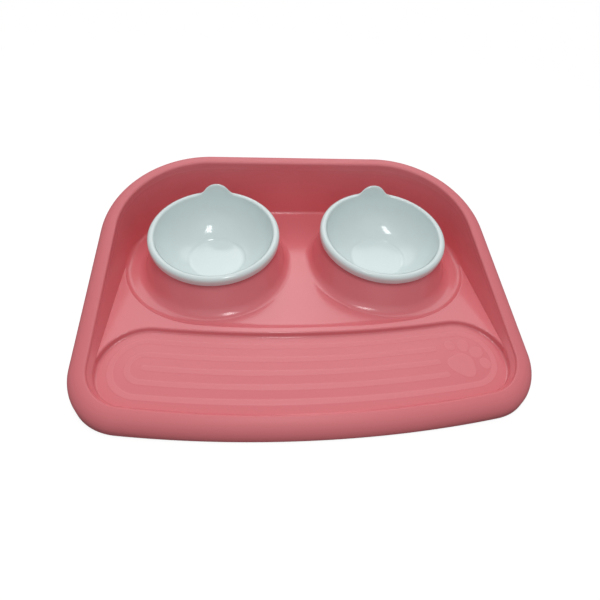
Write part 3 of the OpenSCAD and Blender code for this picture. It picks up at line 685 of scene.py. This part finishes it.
def pedestal_section(side, a):
    """The closed section of a pedestal's wall at an angle round it, from the collar down and back inside."""
    tilt = math.radians(BOWL_TILT)
    hub = np.array([side * BOWL_X, BOWL_Y, BOWL_Z])
    out = np.array([math.cos(a), math.sin(a), 0])
    tipped_out = np.array([math.cos(a), math.sin(a) * math.cos(tilt), math.sin(a) * math.sin(tilt)])
    tipped_down = np.array([0, math.sin(tilt), -math.cos(tilt)])
    depth = LIP_H + WALL_T / 2
    top = hub + (COLLAR_R - COLLAR_T / 4) * tipped_out + depth * tipped_down
    top_in = hub + (COLLAR_R - 3 * COLLAR_T / 4) * tipped_out + (depth + WALL_T / 4) * tipped_down
    foot_r = PEDESTAL_R + PEDESTAL_FRONT * max(0, -math.sin(a)) ** 2
    corner = np.array([side * BOWL_X, BOWL_Y, BASIN_FLOOR - TUCK]) + foot_r * out
    rise = top - corner
    rise /= np.linalg.norm(rise)
    up, away = corner + PEDESTAL_COVE * rise, corner + PEDESTAL_COVE * out
    under = np.array([0, 0, TUCK - WALL_T / 2])
    wall = [top + (up - top) * k for k in (0, 0.1, 0.5, 0.9)]
    shares = np.linspace(0, 1, PEDESTAL_COVE_POINTS)
    cove = [(1 - t) ** 2 * up + 2 * t * (1 - t) * corner + t * t * away for t in shares]
    inside = [away + under, corner - WALL_T * out + under, up - LEANING_WALL_T * out, top_in]
    return (wall + cove + inside)[::-1]


def build_pedestal(side, name):
    """A leaning hollow cone, level at its foot, that ends in the tipped collar under a bowl."""
    turns = [2 * math.pi * i / PEDESTAL_STEPS for i in range(PEDESTAL_STEPS)]
    body = swept_ring(name, [pedestal_section(side, a) for a in turns])
    inner_r, edge_z = COLLAR_R - COLLAR_T, -BOWL_T - COLLAR_EDGE
    profile = [(inner_r, -COLLAR_DEPTH), (COLLAR_R, -COLLAR_DEPTH)]
    profile += arc((COLLAR_R - COLLAR_EDGE, edge_z), COLLAR_EDGE, 0, 90, COLLAR_EDGE_STEPS)
    profile += arc((inner_r + COLLAR_EDGE, edge_z), COLLAR_EDGE, 90, 180, COLLAR_EDGE_STEPS)
    profile += [(inner_r, -COLLAR_DEPTH)]
    collar = lathe(name + "_collar", profile, PEDESTAL_STEPS)
    collar.data.transform(tilt_about_bowl(side))
    select(body, collar)
    bpy.ops.object.join()
    smooth(body)
    return body


def foot_places():
    """Places of the feet on the corners' diagonals: the front and back ones of each side."""
    corners = ((FRONT_CORNER_R, FRONT_CORNER_Y, -1), (BACK_CORNER_R, HALF_D - BACK_CORNER_R, 1))
    places = []
    for side in (-1, 1):
        for corner_r, corner_y, way in corners:
            reach = corner_r - FOOT_INSET
            x = side * (HALF_W - corner_r + reach * math.cos(math.pi / 4))
            places.append((x, corner_y + way * reach * math.sin(math.pi / 4)))
    return places


def build_bosses():
    """Round bosses under the floor, each with a recess for a foot."""
    boss_steps = 48
    low, ceiling = FOOT_H - FOOT_RECESS, FOOT_H
    in_r, out_r = FOOT_R + FOOT_GAP, FOOT_R + FOOT_GAP + BOSS_WALL
    bosses = []
    for i, (x, y) in enumerate(foot_places()):
        top = floor_z(y) - WALL_T / 2
        profile = [(0, ceiling), (in_r, ceiling), (in_r, low + BOSS_EDGE), (in_r + BOSS_EDGE, low),
                   (out_r - BOSS_EDGE, low), (out_r, low + BOSS_EDGE), (out_r, top), (0, top)]
        boss = lathe(f"foot_boss_{i + 1}", profile, boss_steps)
        boss.data.transform(Matrix.Translation((x * MM, y * MM, 0)))
        smooth(boss)
        bosses.append(boss)
    return bosses


def rib_box(name, low, high):
    """A rib between two corners, with bevelled edges."""
    deselect()
    middle = [(a + b) / 2 * MM for a, b in zip(low, high)]
    size = [(b - a) * MM for a, b in zip(low, high)]
    bpy.ops.mesh.primitive_cube_add(size=1, location=middle, scale=size)
    rib = bpy.context.object
    rib.name = rib.data.name = name
    bpy.ops.object.transform_apply(location=True, rotation=True, scale=True)
    bpy.ops.object.mode_set(mode="EDIT")
    bpy.ops.mesh.select_all(action="SELECT")
    bpy.ops.mesh.bevel(offset=RIB_EDGE * MM, segments=2, affect="EDGES")
    bpy.ops.object.mode_set(mode="OBJECT")
    smooth(rib)
    return rib


def build_ribs():
    """Ribs across the pool, which follow its slope, and one along the deck and basin."""
    ribs = []
    for i in range(POOL_RIBS):
        x = (i - (POOL_RIBS - 1) / 2) * RIB_PITCH
        bow = BOW_R - math.sqrt(BOW_R ** 2 - x * x)
        front, back = POOL_FRONT_Y + bow - WALL_T, POOL_BACK_Y + bow + WALL_T / 2
        mid = pool_z((front + back) / 2) - WALL_T / 2
        rib = rib_box(f"pool_rib_{i + 1}", (x - RIB_T / 2, front, mid - RIB_DROP), (x + RIB_T / 2, back, mid))
        for v in rib.data.vertices:
            v.co.z += POOL_SLOPE * (v.co.y - (front + back) / 2 * MM)
        ribs.append(rib)
    top = BASIN_FLOOR - WALL_T / 2
    front, back = POOL_BACK_Y + WALL_T / 2, HALF_D - RIM_W - WALL_LEAN + WALL_T / 2
    ribs.append(rib_box("deck_rib", (-RIB_T / 2, front, top - RIB_DROP), (RIB_T / 2, back, top)))
    return ribs


# Bowls

def tab_rise(x):
    """Height of the tab above the rim at a distance from its middle: a round top with flared sides."""
    hub = TAB_H + TAB_EXTRA - TAB_R
    flare_x = math.sqrt((TAB_R + TAB_FLARE_R) ** 2 - (TAB_FLARE_R - hub) ** 2)
    meet = TAB_R * flare_x / (TAB_R + TAB_FLARE_R)
    x = abs(x)
    if x < meet:
        return hub + math.sqrt(TAB_R ** 2 - x * x)
    if x < flare_x:
        return TAB_FLARE_R - math.sqrt(TAB_FLARE_R ** 2 - (flare_x - x) ** 2)
    return 0.0


def bowl_hub():
    """Middle of the arc that the bowl's side follows in its section."""
    low, high = np.array([FLOOR_R, -BOWL_DEPTH]), np.array([MOUTH_R, -MOUTH_EDGE])
    chord = high - low
    reach = math.sqrt(CURVE_R ** 2 - (np.linalg.norm(chord) / 2) ** 2)
    return (low + high) / 2 + reach * np.array([-chord[1], chord[0]]) / np.linalg.norm(chord)


def side_z(r):
    """Height of the bowl's dished side at a distance from its axis."""
    hub = bowl_hub()
    return hub[1] - math.sqrt(CURVE_R ** 2 - max(r - hub[0], 0) ** 2)


def disc_point(x, y):
    """Moves a point of the inner floor forward, and sinks it where it falls on the flat disc."""
    r = math.hypot(x, y)
    y -= DISC_FORWARD * (1 - float(ease((r - DISC_R) / DISC_BLEND)))
    if r >= DISC_R:
        return y, side_z(math.hypot(x, y))
    back, front = side_z(DISC_R - DISC_FORWARD), side_z(DISC_R + DISC_FORWARD)
    level = front + (back - front) * (y + DISC_FORWARD + DISC_R) / (2 * DISC_R)
    bend = (side_z(DISC_R) - (back + front) / 2) * (r / DISC_R) ** 6 * (x / max(r, AXIS_R)) ** 2
    edge = min(1, (DISC_R - r) / DISC_EDGE)
    return y, level + bend - DISC_SINK * (1 - (1 - edge) ** 2)


# Rings of the bowl's mesh: over its floor, then closer together on both sides of the disc's edge
FLOOR_RINGS = (AXIS_R, 7, 15, 21)
DISC_RINGS = (-4.3, -3.4, -2.6, -1.9, -1.3, -0.8, -0.5, 0, 0.6, 1.7, 3.2, 5.2, 7.2, 9.2, 11.2, 13.2)
# Angles in degrees of the points on the crown's inner and outer rounds
CROWN_IN_TURNS = range(180, 90, -12)
CROWN_OUT_TURNS = (90, 82, 74, 66, 58, 50, 42, 34, 26, 17, 8, 0)
# Steps of the side, the lip's edge and the underside, and steps round a whole bowl
SIDE_STEPS, LIP_STEPS, UNDER_STEPS, BOWL_STEPS = 18, 8, 20, 400
# How far the underside's round stays from the rim and from the foot ring, and the ring's small edges
UNDER_MARGIN, RING_COVE, RING_EDGE = 1, 0.4, 0.3
# Share of the hanging lip where its outside has a point
LIP_SHARE = 0.6


def bowl_profile():
    """Half section of the bowl, and for each point how far it follows the tab."""
    hub = bowl_hub()
    rings = [*FLOOR_RINGS] + [DISC_R + d for d in DISC_RINGS]
    inside = [(r, side_z(r)) for r in rings]
    start = math.degrees(math.acos((rings[-1] - hub[0]) / CURVE_R))
    end = math.degrees(math.acos((MOUTH_R - hub[0]) / CURVE_R))
    inside += arc(hub, CURVE_R, -start, -end, SIDE_STEPS)[1:]
    points = [(p, 0) for p in inside]

    for degrees in CROWN_IN_TURNS:
        a = math.radians(degrees)
        r = MOUTH_R + CROWN_IN_W + CROWN_IN_W * math.cos(a)
        points.append(((r, -CROWN_IN_H + CROWN_IN_H * math.sin(a)), 1))
    for degrees in CROWN_OUT_TURNS:
        a = math.radians(degrees)
        r = BOWL_OUT_R - CROWN_OUT_W + CROWN_OUT_W * math.cos(a)
        share = min(1, max(0, (r - MOUTH_R - TAB_T) / (BOWL_OUT_R - MOUTH_R - TAB_T)))
        points.append(((r, -CROWN_OUT_H + CROWN_OUT_H * math.sin(a)), (1 - share) ** TAB_FADE))

    outside = [(BOWL_OUT_R, -LIP_H * LIP_SHARE)]
    outside += arc((BOWL_OUT_R - LIP_T / 2, -LIP_H + LIP_T / 2), LIP_T / 2, 0, -180, LIP_STEPS)
    outside += [(BOWL_OUT_R - LIP_T, -BOWL_T), (MOUTH_R + BOWL_T - COLLAR_GAP, -BOWL_T)]
    under_r, under_z = CURVE_R + BOWL_T, -BOWL_DEPTH - BOWL_T - DISC_SINK
    start = math.degrees(math.asin((hub[1] + BOWL_T + UNDER_MARGIN) / under_r))
    end = math.degrees(math.asin((hub[1] - under_z - UNDER_MARGIN) / under_r))
    outside += arc(hub, under_r, -start, -end, UNDER_STEPS)
    ring_out, foot_z = FLOOR_R + BOWL_T / 2, under_z - RING_H
    ring_in = ring_out - RING_T
    outside += [(ring_out + RING_COVE, under_z - RING_COVE), (ring_out, foot_z + RING_EDGE),
                (ring_out - RING_EDGE, foot_z), (ring_in + RING_EDGE, foot_z), (ring_in, foot_z + RING_EDGE),
                (ring_in, under_z + RING_EDGE), (ring_in - RING_COVE, under_z), (AXIS_R, under_z)]
    return points + [(p, 0) for p in outside]


def sink_disc(bowl):
    """Moves the inner floor forward and sinks the flat disc in it."""
    for v in bowl.data.vertices:
        x, y, r = v.co.x / MM, v.co.y / MM, math.hypot(v.co.x, v.co.y) / MM
        if r < DISC_R + DISC_BLEND and v.co.z / MM > side_z(r) - BOWL_T / 4:
            y, z = disc_point(x, y)
            v.co.y, v.co.z = y * MM, z * MM


def raise_tab(bowl, crown):
    """Draws the crown of the rim up into the finger tab at the back."""
    lean = math.radians(TAB_LEAN)
    for v in bowl.data.vertices:
        if v.co.y <= 0 or v.co.z < TAB_REACH_Z * MM or abs(v.co.x) > TAB_REACH_X * MM:
            continue
        r, z = math.hypot(v.co.x, v.co.y) / MM, v.co.z / MM
        gap, follow = min((math.hypot(r - p[0], z - p[1]), follow) for p, follow in crown)
        if gap < MERGE_GAP:
            out = Vector((v.co.x, v.co.y, 0)).normalized()
            rise = tab_rise(v.co.x / MM) * follow * MM
            v.co += (out * math.sin(lean) + Vector((0, 0, math.cos(lean)))) * rise


def build_bowl(side, name):
    """One bowl: spun whole, then its disc sunk, its tab raised and the bowl tipped into its place."""
    profile = bowl_profile()
    bowl = lathe(name, [p for p, _ in profile], BOWL_STEPS)
    sink_disc(bowl)
    raise_tab(bowl, [(p, follow) for p, follow in profile if follow > 0])
    bowl.data.transform(tilt_about_bowl(side))
    smooth(bowl, degrees=55)
    return bowl


# Materials

# Sockets of the Mix node, whose names repeat: two numbers, two colours and the mixed colour
MIX_A, MIX_B, MIX_COLOUR_A, MIX_COLOUR_B, MIXED_COLOUR = 2, 3, 6, 7, 2
# Colour and gloss drift over about this length, and the roughness by this much down and up
DRIFT_MM, GLOSS_DOWN, GLOSS_UP = 45, 0.03, 0.04
# How strongly the skin's waves turn the light
SKIN_STRENGTH = 0.35


def linear(code):
    """sRGB hex to linear colour."""
    parts = [int(code[i:i + 2], 16) / 255 for i in (1, 3, 5)]
    return [c / 12.92 if c <= 0.04045 else ((c + 0.055) / 1.055) ** 2.4 for c in parts] + [1.0]


def link_node(owner, node, links):
    """Links a node of a material or the world. Links are (socket, from node, from socket)."""
    for socket, source, output in links:
        owner.node_tree.links.new(source.outputs[output], node.inputs[socket])


def add_node(owner, kind, settings=(), links=()):
    """Adds a node to a material or the world. Settings are (socket or attribute, value)."""
    node = owner.node_tree.nodes.new("ShaderNode" + kind)
    for key, value in settings:
        if isinstance(key, str) and hasattr(node, key):
            setattr(node, key, value)
        else:
            node.inputs[key].default_value = value
    link_node(owner, node, links)
    return node


def new_material(name):
    """A material with nodes, and its surface shader."""
    material = bpy.data.materials.new(name)
    material.use_nodes = True
    return material, material.node_tree.nodes["Principled BSDF"]


def moulded_plastic(name, colour, deep, roughness, ior, texture_mm, texture_height, matt=None):
    """Moulded plastic or rubber: a slight drift of colour and gloss, and a skin that is never quite flat.

    Where matt is given, as a roughness and a colour, the piece's own matt attribute mixes both in: the
    roughness is the mould's texture, and the colour is painted light, a painted sheen or a painted shade.
    """
    material, surface = new_material(name)
    place = [("Vector", add_node(material, "TexCoord"), "Object")]
    drift = add_node(material, "TexNoise", [("Scale", 1 / (DRIFT_MM * MM)), ("Detail", 2.0)], place)
    tint = add_node(material, "Mix",
                    [("data_type", "RGBA"), (MIX_COLOUR_A, linear(colour)), (MIX_COLOUR_B, linear(deep))],
                    [(0, drift, 0)])
    skin = add_node(material, "TexNoise", [("Scale", 1 / (texture_mm * MM)), ("Detail", 3.0)], place)
    gloss = add_node(material, "MapRange",
                     [("To Min", roughness - GLOSS_DOWN), ("To Max", roughness + GLOSS_UP)],
                     [("Value", drift, 0)])
    if matt:
        matt_roughness, painted_light_colour = matt
        share = add_node(material, "Attribute", [("attribute_name", "matt")])
        gloss = add_node(material, "Mix", [(MIX_B, matt_roughness)], [(0, share, "Fac"), (MIX_A, gloss, 0)])
        # The colour mixed in here is painted light: a painted sheen or a painted shade
        tint = add_node(material, "Mix", [("data_type", "RGBA"), (MIX_COLOUR_B, linear(painted_light_colour))],
                        [(0, share, "Fac"), (MIX_COLOUR_A, tint, MIXED_COLOUR)])
    bump = add_node(material, "Bump", [("Strength", SKIN_STRENGTH), ("Distance", texture_height * MM)],
                    [("Height", skin, 0)])
    surface.inputs["IOR"].default_value = ior
    link_node(material, surface, [("Base Color", tint, MIXED_COLOUR), ("Roughness", gloss, 0),
                                  ("Normal", bump, 0)])
    return material


# The tray's pink; its drift tone, which on the rim's outside is also a painted shade; and a paler painted
# sheen for the pool's pattern
PINK, DRIFT_AND_SHADE_PINK, PAINTED_SHEEN_PINK = "#E77E86", "#E37A81", "#E9848B"
# Pink polypropylene, moulded in a polished mould: a soft wide gloss and a faintly wavy skin. The pattern in
# the pool is left matt by the mould, and its colour is painted a little paler than what is round it, a
# painted sheen
pink_polypropylene = moulded_plastic("pink_moulded_polypropylene", PINK, DRIFT_AND_SHADE_PINK, roughness=0.17, ior=1.49,
                                     texture_mm=2.2, texture_height=0.008, matt=(0.5, PAINTED_SHEEN_PINK))
# The same plastic on the rim, where the mould's texture leaves the outside matt and dulls its highlights,
# and a painted shade makes the outside a little darker
rim_polypropylene_painted_shade = moulded_plastic("pink_polypropylene_rim_painted_shade", PINK, DRIFT_AND_SHADE_PINK, roughness=0.17, ior=1.49,
                                    texture_mm=2.2, texture_height=0.008, matt=(0.55, DRIFT_AND_SHADE_PINK))
# White bowl plastic, moulded: smoother and shinier than the tray, with a cool white and small sharp glints
white_bowl_plastic = moulded_plastic("white_moulded_bowl_plastic", "#E2EFEF", "#DEEBEB", roughness=0.1,
                                     ior=1.5, texture_mm=3.0, texture_height=0.004)
# Soft grey rubber of the feet, moulded: matt, with a fine grain and no highlight
grey_rubber = moulded_plastic("grey_moulded_rubber", "#8C8C8C", "#848484", roughness=0.7, ior=1.52,
                              texture_mm=0.6, texture_height=0.03)


# Every piece with its finish

def dress(piece, material, body, node):
    """Gives a piece its material, body and slot, and hides the CAD node that it stands for, if any."""
    piece.data.materials.clear()
    piece.data.materials.append(material)
    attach(piece, body)
    if node:
        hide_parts(node)


for piece, plastic in zip(build_tray(), (rim_polypropylene_painted_shade, pink_polypropylene)):
    dress(piece, plastic, "tray", "tray")
for side, name in ((-1, "pedestal_left"), (1, "pedestal_right")):
    dress(build_pedestal(side, name), pink_polypropylene, "tray", "tray")
for piece in build_bosses() + build_ribs():
    dress(piece, pink_polypropylene, "tray", None)
for side, name in ((-1, "bowl_left"), (1, "bowl_right")):
    dress(build_bowl(side, name + "_body"), white_bowl_plastic, name, name)
for node in ("foot_front_left", "foot_front_right", "foot_back_left", "foot_back_right"):
    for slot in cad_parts[node].material_slots:
        slot.material = grey_rubber


# Floor, light and camera

# Strength of the even light from all round, and the broad soft glows in it. Each glow has its turn from the
# back, its rise and its spread in degrees, and its strength
SKY_EVEN = 0.3
SKY_GLOWS = ((-14, 45, 26, 1.45), (20, 45, 26, 1.45), (180, 66, 46, 0.6))
# Grey paint keeps the floor from throwing light up at the part, and only the camera sees it lifted to pale
FLOOR_PAINT, FLOOR_LIFT = "#747474", 0.9
WHITE = (1, 1, 1, 1)


def sky_direction(turn, rise):
    """Unit vector at an angle round from the back and an angle above the floor."""
    turn, rise = math.radians(turn), math.radians(rise)
    return Vector((math.sin(turn) * math.cos(rise), math.cos(turn) * math.cos(rise), math.sin(rise)))


def pale_floor():
    """A plain matt floor that is pale to the camera and keeps the part's shadow."""
    deselect()
    bpy.ops.mesh.primitive_circle_add(vertices=96, radius=1.0, fill_type="NGON")
    floor = bpy.context.object
    floor.name = "studio_floor"
    material, surface = new_material("studio_floor_paint")
    surface.inputs["Base Color"].default_value = linear(FLOOR_PAINT)
    surface.inputs["Roughness"].default_value = 0.9
    surface.inputs["Specular IOR Level"].default_value = 0.0
    ray = add_node(material, "LightPath")
    lift = add_node(material, "Math", [("operation", "MULTIPLY"), (1, FLOOR_LIFT)],
                    [(0, ray, "Is Camera Ray")])
    glow = add_node(material, "Emission", [("Color", WHITE)], [("Strength", lift, 0)])
    both = add_node(material, "AddShader", (), [(0, surface, 0), (1, glow, 0)])
    link_node(material, material.node_tree.nodes["Material Output"], [("Surface", both, 0)])
    floor.data.materials.append(material)


def studio_world():
    """Even light with two broad soft glows behind the part and one in front, and a white background."""
    world = bpy.data.worlds.new("studio_world")
    bpy.context.scene.world = world
    world.use_nodes = True
    world.node_tree.nodes.clear()
    ray = add_node(world, "LightPath")
    place = add_node(world, "TexCoord")
    total = add_node(world, "Value")
    total.outputs[0].default_value = SKY_EVEN
    for turn, rise, spread, strength in SKY_GLOWS:
        toward = add_node(world, "VectorMath", [("operation", "DOT_PRODUCT"), (1, sky_direction(turn, rise))],
                          [(0, place, "Generated")])
        glow = add_node(world, "MapRange",
                        [("interpolation_type", "SMOOTHERSTEP"), ("From Min", math.cos(math.radians(spread))),
                         ("From Max", 1.0), ("To Min", 0.0), ("To Max", strength)],
                        [("Value", toward, "Value")])
        total = add_node(world, "Math", [("operation", "ADD")], [(0, total, 0), (1, glow, 0)])
    soft = add_node(world, "Background", [("Color", WHITE)], [("Strength", total, 0)])
    white = add_node(world, "Background", [("Color", WHITE), ("Strength", 1.0)])
    both = add_node(world, "MixShader", (), [(0, ray, "Is Camera Ray"), (1, soft, 0), (2, white, 0)])
    add_node(world, "OutputWorld", (), [("Surface", both, 0)])


def soft_lamp(name, turn, rise, distance, width, length, glow):
    """A softbox aimed at the part, its sizes in metres."""
    place = sky_direction(turn, rise) * distance
    data = bpy.data.lights.new(name, "AREA")
    data.shape, data.size, data.size_y = "RECTANGLE", width, length
    data.energy = glow * math.pi * width * length
    lamp = bpy.data.objects.new(name, data)
    bpy.context.collection.objects.link(lamp)
    lamp.location = place
    lamp.rotation_euler = (-place).to_track_quat("-Z", "Y").to_euler()


def photo_camera():
    """The photograph's camera. Its place, angles in radians and focal length fit the object's edges."""
    place = Vector((-42.1, -303.1, 306.3)) * MM
    yaw, pitch, roll = 0.1366, 0.7835, 0.0804
    focal_pixels, picture_pixels, sensor_mm = 420.4, 600, 36
    forward = Vector((math.sin(yaw) * math.cos(pitch), math.cos(yaw) * math.cos(pitch), -math.sin(pitch)))
    right = Vector((math.cos(yaw), -math.sin(yaw), 0))
    up = right.cross(forward)
    turned_right = math.cos(roll) * right + math.sin(roll) * up
    turned_up = -math.sin(roll) * right + math.cos(roll) * up
    data = bpy.data.cameras.new("photo_camera")
    data.sensor_width, data.lens = sensor_mm, sensor_mm * focal_pixels / picture_pixels
    data.clip_start, data.clip_end = 0.01, 20
    camera = bpy.data.objects.new("photo_camera", data)
    bpy.context.collection.objects.link(camera)
    columns = (turned_right, turned_up, -forward)
    rows = [[c[i] for c in columns] + [place[i]] for i in range(3)]
    camera.matrix_world = Matrix(rows + [[0, 0, 0, 1]])
    bpy.context.scene.camera = camera


pale_floor()
studio_world()
soft_lamp("overhead_panel", turn=175, rise=82, distance=0.8, width=0.1, length=0.28, glow=13.0)
photo_camera()
bpy.context.scene.view_settings.view_transform = "Standard"
